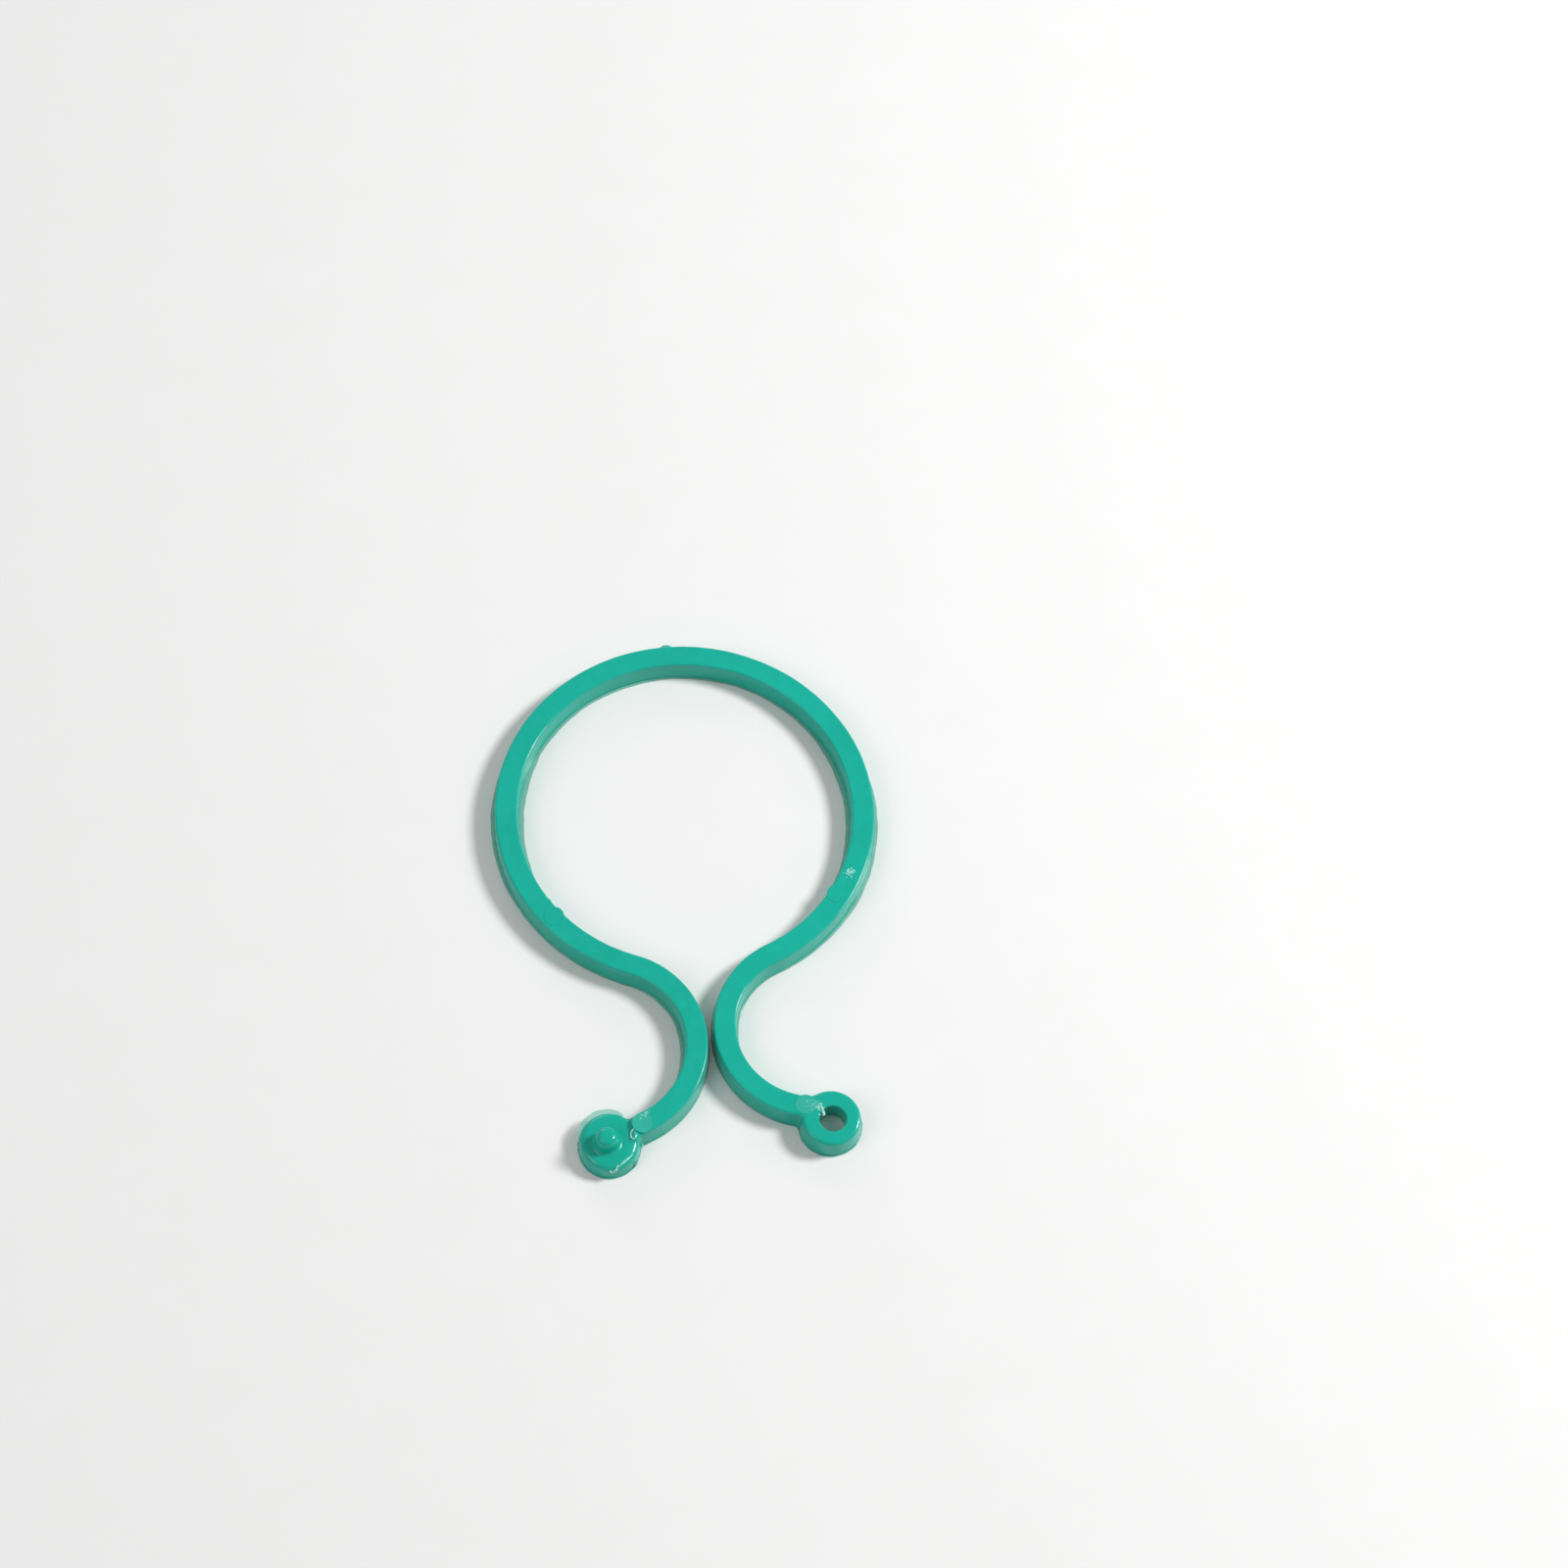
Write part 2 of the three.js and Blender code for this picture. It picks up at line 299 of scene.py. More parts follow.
def band_piece(name, arm, start, end):
    """A stretch of band, closed at both ends."""
    rings = band_rings(arm, np.linspace(start, end, max(2, round((end - start) / STEP)) + 1))
    stations, n = rings.shape[:2]
    faces = []
    for i in range((stations - 1) * n):
        after = i + 1 if (i + 1) % n else i + 1 - n
        faces.append((i, after, after + n, i + n))
    faces.append(tuple(range(n)))
    faces.append(tuple(reversed(range((stations - 1) * n, stations * n))))
    obj = mesh_object(name, rings.reshape(-1, 3), faces)
    edge = {i for i, row in enumerate(SECTION) if row[2] == "fin"}
    for polygon in obj.data.polygons:
        if len(polygon.vertices) == 4 and any(v % n in edge for v in polygon.vertices):
            polygon.material_index = 1
    return obj


def net(field, axes):
    """Closed quad mesh of field = 0 on a grid, by surface nets."""
    grid = np.stack(np.meshgrid(*axes, indexing="ij"), -1)
    value = field(grid)
    cells = tuple(n - 1 for n in value.shape)
    total, hits = np.zeros(cells + (3,)), np.zeros(cells)
    for axis in range(3):
        a, g = np.moveaxis(value, axis, 0), np.moveaxis(grid, axis, 0)
        crossing = (a[:-1] < 0) != (a[1:] < 0)
        t = np.where(crossing, a[:-1] / np.where(crossing, a[:-1] - a[1:], 1), 0)
        at = np.where(crossing[..., None], g[:-1] + (g[1:] - g[:-1]) * t[..., None], 0)
        at, crossing = np.moveaxis(at, 0, axis), np.moveaxis(crossing, 0, axis)
        u, v = [k for k in range(3) if k != axis]
        for du in (0, 1):
            for dv in (0, 1):
                cut = [slice(None)] * 3
                cut[u] = slice(du, du + cells[u])
                cut[v] = slice(dv, dv + cells[v])
                total += at[tuple(cut)]
                hits += crossing[tuple(cut)]
    used = hits > 0
    index = -np.ones(cells, int)
    index[used] = np.arange(used.sum())
    points = total[used] / hits[used][:, None]
    faces = []
    for axis in range(3):
        u, v = [k for k in range(3) if k != axis]
        a = np.moveaxis(value < 0, axis, 0)
        where = np.argwhere(np.moveaxis(a[:-1] != a[1:], 0, axis))
        keep = (where[:, u] > 0) & (where[:, v] > 0) & (where[:, u] < cells[u]) & (where[:, v] < cells[v])
        corners = []
        for du, dv in ((0, 0), (1, 0), (1, 1), (0, 1)):
            cell = where[keep].copy()
            cell[:, u] -= du
            cell[:, v] -= dv
            corners.append(index[tuple(cell.T)])
        faces.append(np.stack(corners, -1))
    return points, np.concatenate(faces)


def onto(field, points):
    """Moves points down the field's slope onto field = 0."""
    step = 1e-3
    for _ in range(6):
        f = field(points)
        slope = np.stack([(field(points + step * e) - f) / step for e in np.eye(3)], -1)
        norm = np.maximum((slope**2).sum(-1), 0.05)
        points = points - (np.clip(f, -GRID, GRID) / norm)[..., None] * slope
    return points


def end_plan(arm, x, y):
    """Below zero inside the plan of the tail's last stretch and its disc, at the parting line."""
    bend, disc, a = tail_centre(arm), disc_centre(arm), ARMS[arm]
    rx, ry = x - bend[0], y - bend[1]
    strip = np.abs(np.hypot(rx, ry) - a["tail_r"]) - float(foot_at(arm, along_tail(arm, SEAM)))
    strip = smax(strip, rx * a["side"] - a["reach"] - 0.2, 0.3)
    stretch = DISC_STRETCH if arm == "stud" else 1.0
    disc_plan = np.hypot(x - disc[0], (y - disc[1]) / stretch) - a["disc_r"] + 0.02
    return smin(strip, disc_plan, 0.3)


def end_field(arm):
    """The tail's last stretch and its end disc, with the stud or the hole, as one field."""
    disc, hub, bend, a = disc_centre(arm), hub_centre(arm), tail_centre(arm), ARMS[arm]
    foot = float(foot_at(arm, along_tail(arm, SEAM)))
    soft = STUD_SOFT if arm == "stud" else EYELET_SOFT

    def field(p):
        x, y, z = p[..., 0], p[..., 1], p[..., 2]
        plan = end_plan(arm, x, y)
        q = np.hypot(x - bend[0], y - bend[1]) - a["tail_r"]
        away = np.hypot(x - disc[0], y - disc[1])
        wall = (plan + DRAFT * z / BAND_T) / math.hypot(1, DRAFT / BAND_T)
        on_band = ease((away - 2.3) / 0.9)
        sink = TOP_SINK * (1 - np.clip(np.abs(q) / SINK_REACH, 0, 1) ** 2) * on_band
        softness = EDGE + (soft - EDGE) * (1 - on_band)
        height = BAND_T
        if arm == "stud":
            inboard = -a["side"] * (x - disc[0])
            strip = 1 - ease((np.abs(q) - foot + 0.1) / 0.3)
            height = DISC_T + (BAND_T - DISC_T) * ease((inboard - STEP_IN) / STEP_RUN) * strip
            height = height - DISC_CROWN * np.clip(away, 0, 2.3) ** 2 * (1 - on_band)
        shape = smax(wall, z - height + sink, softness)
        hub_r = np.hypot(x - hub[0], y - hub[1])
        if arm == "stud":
            lean = (STUD_BASE_R - STUD_TIP_R) / (STUD_TOP - DISC_T)
            post = smax(hub_r - STUD_BASE_R + 0.06 + lean * (z - DISC_T), z - STUD_TOP - 0.08, STUD_DOME)
            shape = smin(shape, smax(post, 0.6 - z, 0.1), HUB_FILLET)
        shape = np.minimum(shape, smax(plan - end_fin(arm, x, y), z - FIN_T - 0.01, 0.01))
        if arm == "eyelet":
            shape = smax(shape, HOLE_R - hub_r, HOLE_EDGE)
        return smax(shape, -z, 0.02)

    return field


def end_fin(arm, x, y):
    """Width of the flash round the end, which matches the swept band's at the seam."""
    disc, bend = disc_centre(arm), tail_centre(arm)
    around = np.arctan2(y - disc[1], x - disc[0])
    inner, outer = (float(fin_at(arm, along_tail(arm, SEAM), out)) for out in (False, True))
    base = np.where(np.hypot(x - bend[0], y - bend[1]) > ARMS[arm]["tail_r"], inner, outer)
    near = 1 - ease((np.hypot(x - disc[0], y - disc[1]) - 2.4) / 0.8)
    return base * (1 + 0.35 * near * ripple(around * 3.1, 4))


def end_piece(name, arm):
    """The disc with its stud or eyelet and the last of the tail, cut off flat at the seam."""
    a, disc, reach = ARMS[arm], disc_centre(arm), ARMS[arm]["disc_r"] + 0.4
    seam = place(arm, along_tail(arm, SEAM))
    far = seam - a["side"] * np.array([1.4, 0]) + np.array([0, 1.6])
    low = np.minimum(disc - reach, far)
    high = np.maximum(disc + reach, far)
    fine = np.array([-0.03, -0.012, 0.006, 0.02, 0.03, 0.042, 0.06])
    upward = np.concatenate([fine, np.arange(0.09, STUD_TOP + 0.15, GRID)])
    field = end_field(arm)
    axes = [np.arange(low[0], high[0], GRID), np.arange(low[1], high[1], GRID), upward]
    points, faces = net(field, axes)
    obj = mesh_object(name, onto(field, points), faces.tolist())
    turn = math.radians(SEAM)
    bm = bmesh.new()
    bm.from_mesh(obj.data)
    cut = bmesh.ops.bisect_plane(
        bm,
        geom=bm.verts[:] + bm.edges[:] + bm.faces[:],
        plane_co=Vector((*seam, 0)) * MM,
        plane_no=Vector((-a["side"] * math.cos(turn), -math.sin(turn), 0)),
        clear_inner=True,
        dist=1e-8,
    )
    edges = [part for part in cut["geom_cut"] if isinstance(part, bmesh.types.BMEdge)]
    bmesh.ops.holes_fill(bm, edges=edges, sides=0)
    for face in bm.faces:
        middle = face.calc_center_median() / MM
        beyond = float(end_plan(arm, np.array(middle.x), np.array(middle.y)))
        if beyond > 0.012 and middle.z < FIN_ROOT:
            face.material_index = 1
    bm.to_mesh(obj.data)
    bm.free()
    tidy(obj)
    return obj


def catmull(points, count):
    """Points along a smooth curve through the given ones."""
    p = np.asarray(points, float)
    p = np.concatenate([2 * p[:1] - p[1:2], p, 2 * p[-1:] - p[-2:-1]])
    t = np.linspace(0, len(p) - 3 - 1e-9, count)
    i = t.astype(int)
    u = (t - i)[:, None]
    a, b, c, d = (p[i + k] for k in range(4))
    square, cube = 2 * a - 5 * b + 4 * c - d, 3 * b - a - 3 * c + d
    return 0.5 * (2 * b + (c - a) * u + square * u**2 + cube * u**3)


def shaving(name, points, width, height, seed):
    """A ragged sliver of plastic along a curve, tapered at both ends."""
    count = SLIVER_SECTIONS
    line = catmull(points, count)
    along = np.gradient(line, axis=0)
    along /= np.linalg.norm(along, axis=1)[:, None]
    across = np.cross(along, (0, 0, 1))
    across /= np.linalg.norm(across, axis=1)[:, None]
    up = np.cross(across, along)
    rng = np.random.default_rng(seed)
    taper = np.sin(np.linspace(0.12, math.pi - 0.12, count)) ** 0.6
    n = SLIVER_SIDES
    ring = np.linspace(0, 2 * math.pi, n + 1)[:-1]
    rough = 1 + 0.9 * rng.standard_normal((count, n))
    for _ in range(2):
        rough = (rough + np.roll(rough, 1, 0) + np.roll(rough, -1, 0) + np.roll(rough, 1, 1)) / 4
    rough = np.clip(rough, 0.3, 1.9)
    side = (np.cos(ring) * width / 2)[None, :] * rough * taper[:, None]
    lift = (np.sin(ring) * height / 2)[None, :] * rough * taper[:, None]
    points = line[:, None] + side[..., None] * across[:, None] + lift[..., None] * up[:, None]
    faces = [
        (i * n + j, i * n + (j + 1) % n, (i + 1) * n + (j + 1) % n, (i + 1) * n + j)
        for i in range(count - 1)
        for j in range(n)
    ]
    faces += [tuple(range(n)), tuple(reversed(range((count - 1) * n, count * n)))]
    return mesh_object(name, points.reshape(-1, 3), faces)


def crumbs(name, centre, spread, turn, count, size, seed):
    """Fine raised specks scattered over an oval patch of a top face."""
    rng = np.random.default_rng(seed)
    points, faces = [], []
    cosine, sine = math.cos(turn), math.sin(turn)
    for _ in range(count):
        u, v = rng.normal(0, 0.45, 2) * spread
        radius = size * rng.uniform(0.5, 1.3)
        x = centre[0] + u * cosine - v * sine
        y = centre[1] + u * sine + v * cosine
        base = len(points)
        for level, share in ((-0.5, 1.0), (0.25, 0.8)):
            z = centre[2] + level * radius
            for k in range(SPECK_SIDES):
                a = k / SPECK_SIDES * 2 * math.pi
                reach = radius * share * rng.uniform(0.7, 1.2)
                points.append((x + reach * math.cos(a), y + reach * math.sin(a), z))
        points.append((x, y, centre[2] + 0.5 * radius))
        upper, tip = base + SPECK_SIDES, base + 2 * SPECK_SIDES
        faces.append(tuple(reversed(range(base, upper))))
        for k in range(SPECK_SIDES):
            j = (k + 1) % SPECK_SIDES
            faces.append((base + k, base + j, upper + j, upper + k))
            faces.append((upper + k, upper + j, tip))
    return mesh_object(name, points, faces)


def turned_piece(name, profile, x, y, facets=64, wobble=0.0, seed=0):
    """A closed solid of revolution about an upright axis, slightly out of round."""
    angles = np.arange(facets) / facets * 2 * math.pi
    uneven = 1 + wobble * ripple(angles * 2, seed)
    rows = [(r * uneven * np.cos(angles), r * uneven * np.sin(angles), z) for r, z in profile]
    points = [(x + px, y + py, z) for xs, ys, z in rows for px, py in zip(xs, ys)]
    faces = []
    for row in range(len(profile) - 1):
        for i in range(facets):
            j = (i + 1) % facets
            base = row * facets
            faces.append((base + i, base + j, base + facets + j, base + facets + i))
    faces.append(tuple(reversed(range(facets))))
    faces.append(tuple(range((len(profile) - 1) * facets, len(profile) * facets)))
    return mesh_object(name, points, faces)


# Materials


def add(tree, kind, **values):
    node = tree.nodes.new(kind)
    for key, value in values.items():
        if key in node.inputs:
            node.inputs[key].default_value = value
        else:
            setattr(node, key, value)
    return node


def noise(tree, where, scale, detail=2.0, roughness=0.5):
    node = add(tree, "ShaderNodeTexNoise", Scale=scale, Detail=detail, Roughness=roughness)
    tree.links.new(where, node.inputs["Vector"])
    return node.outputs["Fac"]


def remap(tree, value, low, high, to_low, to_high):
    node = add(tree, "ShaderNodeMapRange")
    for key, number in zip(("From Min", "From Max", "To Min", "To Max"), (low, high, to_low, to_high)):
        node.inputs[key].default_value = number
    tree.links.new(value, node.inputs["Value"])
    return node.outputs["Result"]


def mix(tree, fac, a, b):
    """Mixes two colours, each a tuple or a socket."""
    node = add(tree, "ShaderNodeMix", data_type="RGBA")
    tree.links.new(fac, node.inputs["Factor"])
    for value, socket in ((a, node.inputs[6]), (b, node.inputs[7])):
        if isinstance(value, tuple):
            socket.default_value = (*value, 1)
        else:
            tree.links.new(value, socket)
    return node.outputs[2]


TEAL = (0.0045, 0.400, 0.305)
TEAL_DEEP = (0.0035, 0.372, 0.279)
TEAL_PALE = (0.008, 0.425, 0.332)
STRESSED = (0.46, 0.80, 0.72)
FILM = (0.22, 0.60, 0.50)
GLOSS_LEVEL = 0.36
ROUGHNESS = (0.13, 0.23)


def moulding(name, whitening=0.0, alpha=1.0):
    """Teal polypropylene: faint flow clouds, a fine moulded grain and uneven gloss.

    Whitening turns it pale in specks, as where plastic is torn. Alpha below 1 is for thin flash.
    """
    material = bpy.data.materials.new(name)
    material.use_nodes = True
    tree = material.node_tree
    shader = tree.nodes["Principled BSDF"]
    where = add(tree, "ShaderNodeTexCoord").outputs["Object"]
    clouds = noise(tree, where, 180, 3)
    streaks = noise(tree, where, 900, 4, 0.6)
    colour = mix(tree, remap(tree, clouds, 0.35, 0.65, 0, 1), TEAL_DEEP, TEAL)
    colour = mix(tree, remap(tree, streaks, 0.5, 0.75, 0, 0.6), colour, TEAL_PALE)
    if alpha < 1:
        thin = noise(tree, where, 1100, 3)
        colour = mix(tree, remap(tree, thin, 0.3, 0.7, 0.75, 1), colour, FILM)
    if whitening:
        specks = noise(tree, where, 4200, 5, 0.7)
        low, high = 0.66 - 0.35 * whitening, 0.74 - 0.2 * whitening
        fleck = remap(tree, specks, low, high, 0.75 * whitening, 0.9)
        colour = mix(tree, fleck, colour, STRESSED)
    tree.links.new(colour, shader.inputs["Base Color"])
    gloss = noise(tree, where, 1400, 4, 0.6)
    tree.links.new(remap(tree, gloss, 0.3, 0.7, *ROUGHNESS), shader.inputs["Roughness"])
    grain = noise(tree, where, 6500, 3, 0.55)
    orange_peel = noise(tree, where, 1500, 2)
    fine = add(tree, "ShaderNodeBump", Strength=0.18, Distance=0.00001)
    tree.links.new(grain, fine.inputs["Height"])
    coarse = add(tree, "ShaderNodeBump", Strength=0.25, Distance=0.00004)
    tree.links.new(orange_peel, coarse.inputs["Height"])
    tree.links.new(fine.outputs["Normal"], coarse.inputs["Normal"])
    tree.links.new(coarse.outputs["Normal"], shader.inputs["Normal"])
    shader.inputs["Specular IOR Level"].default_value = GLOSS_LEVEL
    shader.inputs["IOR"].default_value = 1.49
    shader.inputs["Alpha"].default_value = alpha
    return material


MOULDING = moulding("teal_polypropylene")
MARKED = moulding("pin_marked_polypropylene", whitening=0.07)
TORN = moulding("torn_polypropylene", whitening=1.0)
FLASH_FILM = moulding("flash_film", whitening=0.1, alpha=0.5)


def finish_piece(obj, materials, body, *nodes):
    """Gives a rigid piece its finish and body; nodes are the CAD solids it stands for."""
    for material in materials:
        obj.data.materials.append(material)
    if nodes:
        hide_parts(*nodes)
    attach(obj, body)


def bending_piece(name, arm, start, end, near, far, *nodes):
    """A stretch of band where one CAD body meets the next."""
    obj = band_piece(name, arm, along_ring(start), along_ring(end))
    obj.data.materials.append(MOULDING)
    obj.data.materials.append(FLASH_FILM)
    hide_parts(*nodes)
    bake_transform(obj)


def crown():
    """The top arc, with what the gate left on its outer wall."""
    half = along_ring(STRETCHES[0])
    obj = band_piece("crown_arc", "eyelet", -half, half)
    finish_piece(obj, [MOULDING, FLASH_FILM], "crown", "crown_band")
    wall = RING_Y + RING_R + RING_FOOT - NUB_SINK
    profile = [(0.66, -0.3), (0.64, 0.06), (0.52, 0.22), (0.34, 0.33), (0.16, 0.37)]
    nub = turned_piece("gate_vestige", profile, 0, 0, 40, 0.07, 7)
    turn = Matrix.Rotation(-math.pi / 2, 4, "X")
    nub.data.transform(Matrix.Translation((0, wall * MM, NUB_Z * MM)) @ turn)
    finish_piece(nub, [MARKED], "crown")
    torn = ((-0.4, 0.15, 1.5), (-0.15, 0.26, 1.5), (0.15, 0.27, 1.48), (0.42, 0.14, 1.5))
    lip = [(x, wall + out, z) for x, out, z in torn]
    finish_piece(shaving("gate_lip", lip, 0.12, 0.1, 3), [TORN], "crown")


def pin_mark(name, arm, s, q, body, material):
    """Low disc left by a mould pin, with a fine raised rim."""
    x, y = place(arm, s, q)
    profile = [(0.76, 1.6), (0.78, 1.76), (0.77, 1.805), (0.74, 1.812), (0.7, 1.806), (0.4, 1.804)]
    finish_piece(turned_piece(name, profile, x, y, 56, 0.012, len(name)), [material], body)


def arm_pieces(arm):
    """An arm's three stretches between CAD bodies, and the rigid sweep from its neck to the seam."""
    a, b, c, d = STRETCHES
    joints = [(a, b, "crown", "shoulder"), (b, c, "shoulder", "flank"), (c, d, "flank", "end")]
    for start, end, near, far in joints:
        near_body = near if near == "crown" else f"{arm}_{near}"
        node = f"{arm}_{'neck' if far == 'end' else far}"
        bending_piece(f"{arm}_{far}_bend", arm, start, end, near_body, f"{arm}_{far}", node)
    sweep = band_piece(f"{arm}_sweep", arm, along_ring(d), along_tail(arm, SEAM))
    finish_piece(sweep, [MOULDING, FLASH_FILM], f"{arm}_end", f"{arm}_neck", f"{arm}_tail")
    spot = along_ring(MARK_TURN)
    pin_mark(f"{arm}_ring_pin_mark", arm, spot, -MARK_IN, f"{arm}_end", MOULDING)


def ends():
    """The stud's disc and the eyelet, with the pin marks on their tails."""
    stud = end_piece("stud_end_disc", "stud")
    finish_piece(stud, [MOULDING, FLASH_FILM], "stud_end", "stud_tail", "stud_disc", "stud_post")
    eyelet = end_piece("eyelet_end_ring", "eyelet")
    finish_piece(eyelet, [MOULDING, FLASH_FILM], "eyelet_end", "eyelet_tail", "eyelet_ring")
    spot = along_tail("stud", STUD_MARK_TURN)
    pin_mark("stud_tail_pin_mark", "stud", spot, 0.0, "stud_end", MARKED)
    spot = along_tail("eyelet", EYELET_MARK_TURN)
    pin_mark("eyelet_tail_pin_mark", "eyelet", spot, 0.1, "eyelet_end", MARKED)


def rest_on(arm, x, y):
    """Height of an end's top at a point; over the hole or past the edge, a height near the top."""
    z = np.arange(3.0, 0.3, -0.01)
    spots = np.stack([np.full_like(z, x), np.full_like(z, y), z], -1)
    solid = end_field(arm)(spots) < 0
    return float(z[np.argmax(solid)]) if solid.any() else BAND_T - 0.1


def sliver(name, arm, spots, width, height, seed):
    """A torn sliver on an arm's end: spots are (x, y) from the disc's centre."""
    disc = disc_centre(arm)
    line = [(disc[0] + x, disc[1] + y, rest_on(arm, disc[0] + x, disc[1] + y)) for x, y in spots]
    finish_piece(shaving(name, line, width, height, seed), [TORN], f"{arm}_end")


def specks(name, arm, middle, spread, turn, count, size, seed):
    """Fine torn specks on an arm's end."""
    spot = (*middle, rest_on(arm, *middle) + 0.01)
    finish_piece(crumbs(name, spot, np.array(spread), turn, count, size, seed), [TORN], f"{arm}_end")


def ring_damage():
    """Torn edges beside the pin marks on the ring."""
    spots = ((119.4, -0.78), (120.8, -0.84), (122.4, -0.86), (124.0, -0.8))
    chip = [(*place("stud", along_ring(turn), q), 1.76) for turn, q in spots]
    finish_piece(shaving("stud_ring_chip", chip, 0.17, 0.12, 5), [TORN], "stud_end")
    spot = (*place("eyelet", along_ring(118.4), -0.15), 1.79)
    patch = crumbs("eyelet_ring_scuff", spot, np.array([0.55, 0.34]), 0.6, 40, 0.06, 11)
    finish_piece(patch, [TORN], "eyelet_end")


def foot_burr(name, degrees, z):
    """A burr low on the wall of the stud's disc, at angles round it."""
    x, y = disc_centre("stud")
    turns = np.radians(degrees)
    rim = [(x + 2.42 * math.cos(turn), y + 2.48 * math.sin(turn), z) for turn in turns]
    finish_piece(shaving(name, rim, 0.09, 0.24, 26), [TORN], "stud_end")


def stud_damage():
    """Where the stud's disc and tail were torn from the mould, with scratches along the disc's shoulder
    that are partly a painted highlight.
    """
    middle = place("stud", along_tail("stud", 156), 0.5)
    specks("stud_tail_specks", "stud", middle, (0.6, 0.24), 0.5, 40, 0.045, 12)
    lip = ((1.88, 0.66), (1.66, 0.5), (1.58, 0.2), (1.68, -0.08), (1.9, -0.1))
    sliver("stud_tail_lip", "stud", lip, 0.16, 0.15, 21)
    lip_back = ((1.9, 0.4), (1.93, 0.16), (1.88, -0.08))
    sliver("stud_tail_lip_back", "stud", lip_back, 0.04, 0.05, 22)
    # Pale slivers along the disc's shoulder: real scratches, and also a painted highlight for the bright
    # line of light along that shoulder.
    scratch_and_highlight = ((1.6, -1.2), (1.3, -1.48), (0.92, -1.78), (0.5, -2.06))
    sliver("stud_rim_scratch", "stud", scratch_and_highlight, 0.1, 0.07, 23)
    beside = ((1.1, -1.54), (0.8, -1.8), (0.44, -2.14))
    sliver("stud_rim_scratch_side", "stud", beside, 0.05, 0.05, 30)
    burr = ((0.44, -2.02), (0.28, -2.2), (0.02, -2.3), (-0.2, -2.24))
    sliver("stud_rim_burr", "stud", burr, 0.22, 0.12, 24)
    burr_tail = ((0.48, -1.98), (0.36, -2.1), (0.28, -2.3))
    sliver("stud_rim_burr_tail", "stud", burr_tail, 0.12, 0.1, 25)
    foot_burr("stud_foot_burr", (-1, -5, -10), 0.42)
    foot_burr("stud_foot_burr_near", (-36, -40, -44), 0.3)


def eyelet_damage():
    """The torn flap at the hole's rim and the specks round it."""
    flap = ((-0.66, 1.04), (-0.6, 0.8), (-0.54, 0.56), (-0.52, 0.34), (-0.62, 0.2))
    sliver("eyelet_hole_tear", "eyelet", flap, 0.2, 0.14, 28)
    behind = ((-0.76, 1.06), (-0.88, 0.84), (-0.82, 0.6))
    sliver("eyelet_hole_tear_back", "eyelet", behind, 0.12, 0.09, 29)
    middle = disc_centre("eyelet") + np.array([-0.86, 0.92])
    specks("eyelet_tail_specks", "eyelet", middle, (0.34, 0.42), -0.4, 30, 0.045, 13)
    middle = disc_centre("eyelet") + np.array([-1.3, 1.1])
    specks("eyelet_tail_scuff", "eyelet", middle, (0.9, 0.4), -0.3, 26, 0.035, 14)


def stud_film():
    """The clear flash that stands out from the far side of the stud's disc."""
    disc, seed = disc_centre("stud"), 6
    points, faces = [], []
    angles = np.radians(np.linspace(58, 176, 72))
    share = np.sin(np.linspace(0, math.pi, len(angles))) ** 0.5
    reach = 0.3 * share * (1 + 0.14 * ripple(angles * 2.2, seed))
    for a, out in zip(angles, reach):
        for r, z in ((2.05, 1.02), (2.24 + out, 1.1), (2.24 + out, 1.13), (2.05, 1.12)):
            points.append((disc[0] + r * math.cos(a), disc[1] + DISC_STRETCH * r * math.sin(a), z))
    last = len(angles) - 1
    for i in range(last):
        for j in range(4):
            k = (j + 1) % 4
            faces.append((4 * i + j, 4 * i + k, 4 * i + 4 + k, 4 * i + 4 + j))
    faces += [(0, 1, 2, 3), tuple(4 * last + j for j in (3, 2, 1, 0))]
    finish_piece(mesh_object("stud_disc_film", points, faces), [FLASH_FILM], "stud_end")


# Stage

CAMERA_BACK = Vector((-0.100075, -0.464358, 0.879975)).normalized()
CAMERA_ROLL = math.radians(6.3375)
CAMERA_DISTANCE = 288
LOOK_AT = Vector((7.5086, 7.0693, 4.5843))  # the point at the middle of the frame
LENS = 86.739
FLOOR_HALF = 3.0  # metres, like the lights' places and sizes
FLOOR_DROP = 0.00002
FLOOR_DARK = (0.80, 0.80, 0.795)
FLOOR_LIGHT = (0.82, 0.82, 0.818)
WORLD_STRENGTH = 0.35
# Lights: place, size, power in watts
LIGHTS = {
    "key": ((0.36, 0.05, 0.34), 0.13, 2.15),
    "fill": ((-0.42, -0.16, 0.4), 0.4, 0.8),
    "rim": ((-0.12, 0.55, 0.2), 0.3, 0.5),
}


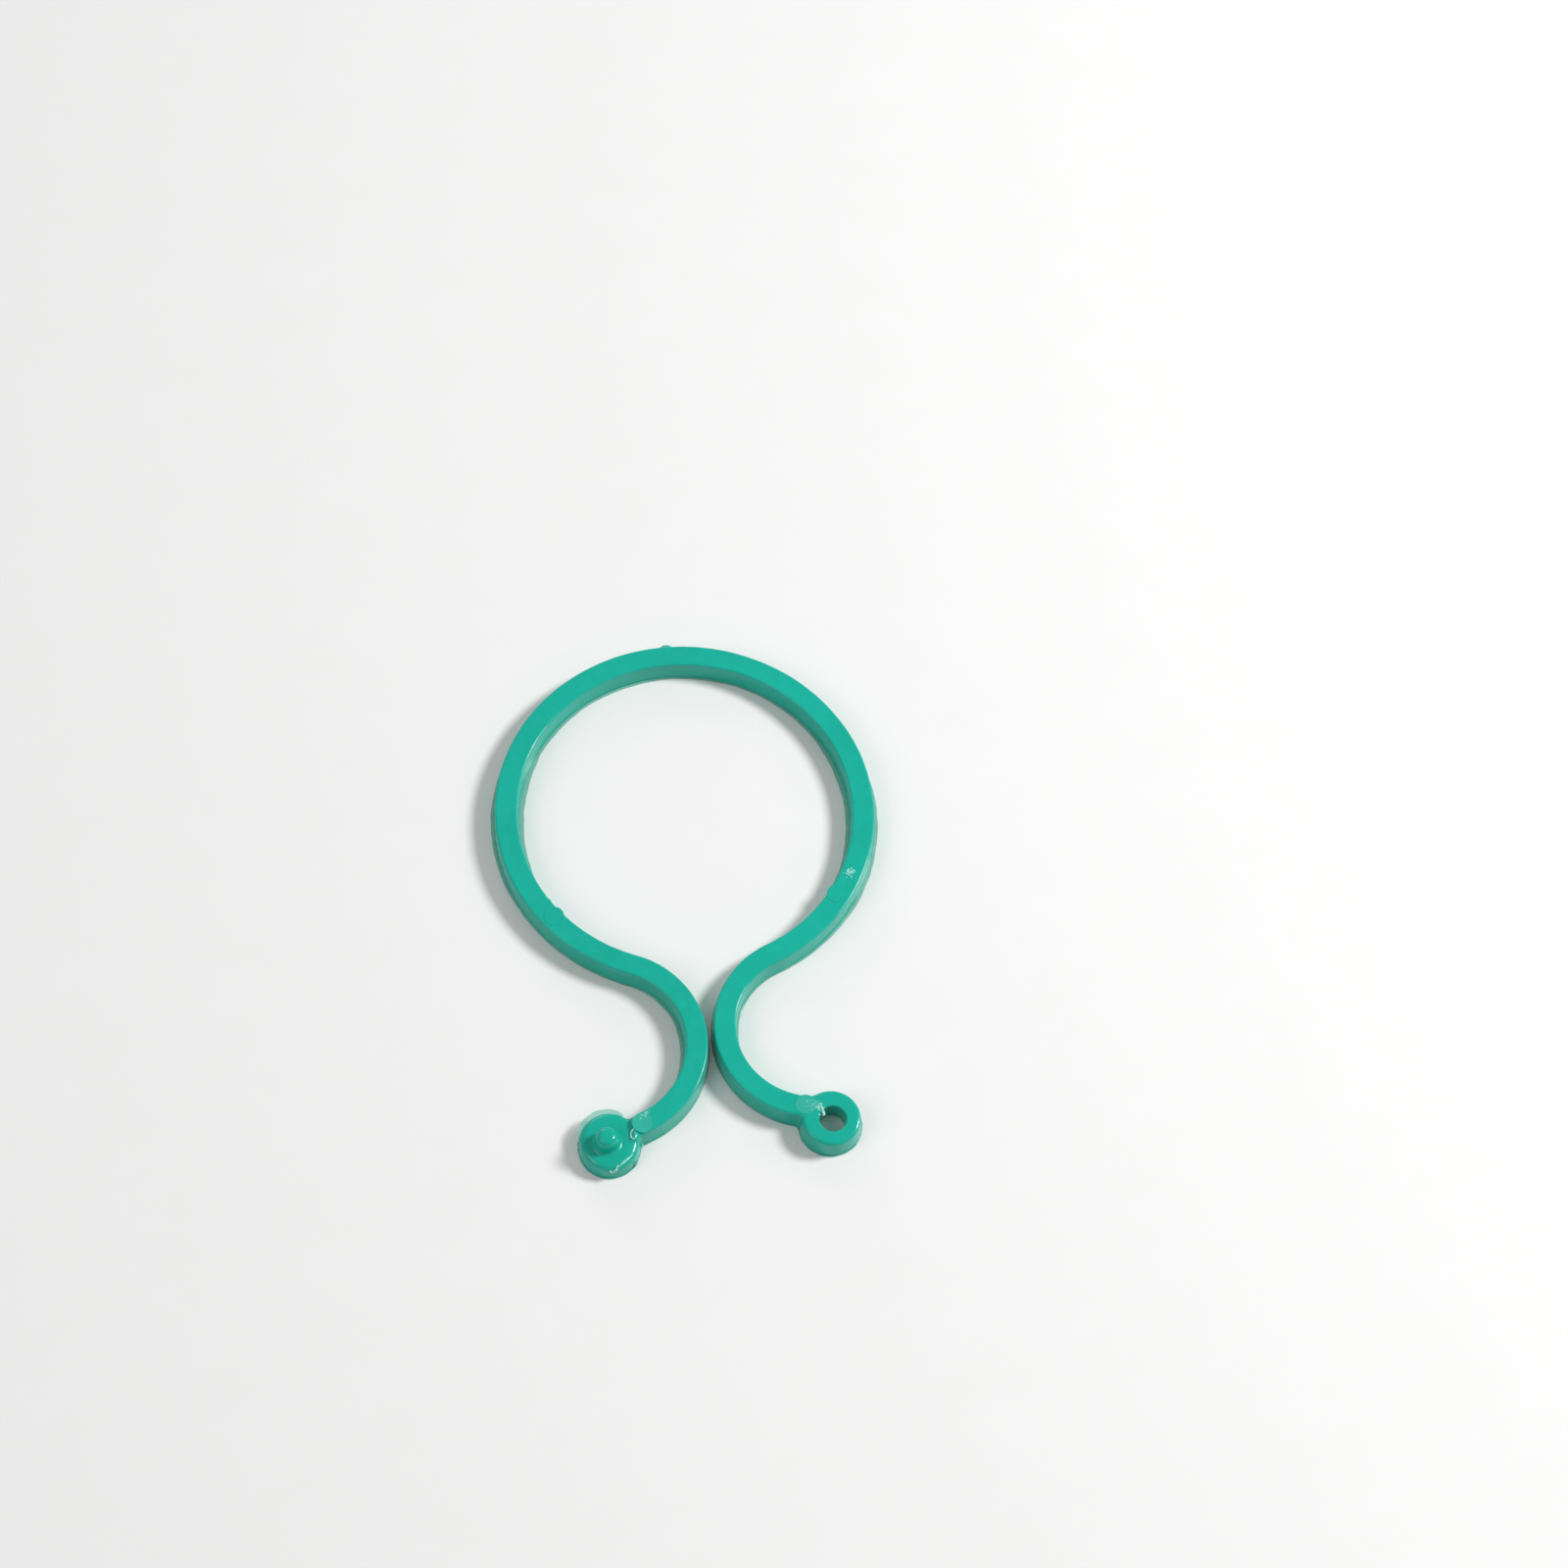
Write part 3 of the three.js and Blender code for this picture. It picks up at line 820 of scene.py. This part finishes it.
def camera():
    data = bpy.data.cameras.new("camera")
    data.lens = LENS
    data.sensor_width = 36
    data.clip_start = 0.01
    data.clip_end = 10
    obj = bpy.data.objects.new("camera", data)
    right = (-CAMERA_BACK).cross(Vector((0, 0, 1))).normalized()
    up = right.cross(-CAMERA_BACK)
    cosine, sine = math.cos(CAMERA_ROLL), math.sin(CAMERA_ROLL)
    x, y = right * cosine + up * sine, up * cosine - right * sine
    spot = (LOOK_AT + CAMERA_BACK * CAMERA_DISTANCE) * MM
    rows = [[*row, at] for row, at in zip(zip(x, y, CAMERA_BACK), spot)]
    obj.matrix_world = Matrix([*rows, [0, 0, 0, 1]])
    bpy.context.scene.collection.objects.link(obj)
    bpy.context.scene.camera = obj


def softbox(name, spot, size, power):
    data = bpy.data.lights.new(name, "AREA")
    data.shape = "DISK"
    data.size = size
    data.energy = power
    obj = bpy.data.objects.new(name, data)
    obj.location = spot
    obj.rotation_mode = "QUATERNION"
    obj.rotation_quaternion = Vector(spot).to_track_quat("Z", "Y")
    bpy.context.scene.collection.objects.link(obj)


def floor():
    half = FLOOR_HALF
    mesh = bpy.data.meshes.new("floor")
    corners = [(-half, -half, 0), (half, -half, 0), (half, half, 0), (-half, half, 0)]
    mesh.from_pydata(corners, [], [(0, 1, 2, 3)])
    obj = bpy.data.objects.new("floor", mesh)
    bpy.context.scene.collection.objects.link(obj)
    obj.location.z = CAD_BOX[0].z - FLOOR_DROP
    material = bpy.data.materials.new("pale_floor")
    material.use_nodes = True
    tree = material.node_tree
    shader = tree.nodes["Principled BSDF"]
    shader.inputs["Roughness"].default_value = 0.8
    shader.inputs["Specular IOR Level"].default_value = 0.1
    where = add(tree, "ShaderNodeTexCoord").outputs["Object"]
    paper = noise(tree, where, 240, 4)
    tree.links.new(mix(tree, paper, FLOOR_DARK, FLOOR_LIGHT), shader.inputs["Base Color"])
    obj.data.materials.append(material)


def studio():
    world = bpy.data.worlds.new("studio")
    world.use_nodes = True
    background = world.node_tree.nodes["Background"]
    background.inputs["Color"].default_value = (1, 1, 1, 1)
    background.inputs["Strength"].default_value = WORLD_STRENGTH
    bpy.context.scene.world = world
    bpy.context.scene.view_settings.view_transform = "Standard"
    for name, (spot, size, power) in LIGHTS.items():
        softbox(name, spot, size, power)


crown()
for arm_name in ARMS:
    arm_pieces(arm_name)
ends()
ring_damage()
stud_damage()
eyelet_damage()
stud_film()
camera()
floor()
studio()
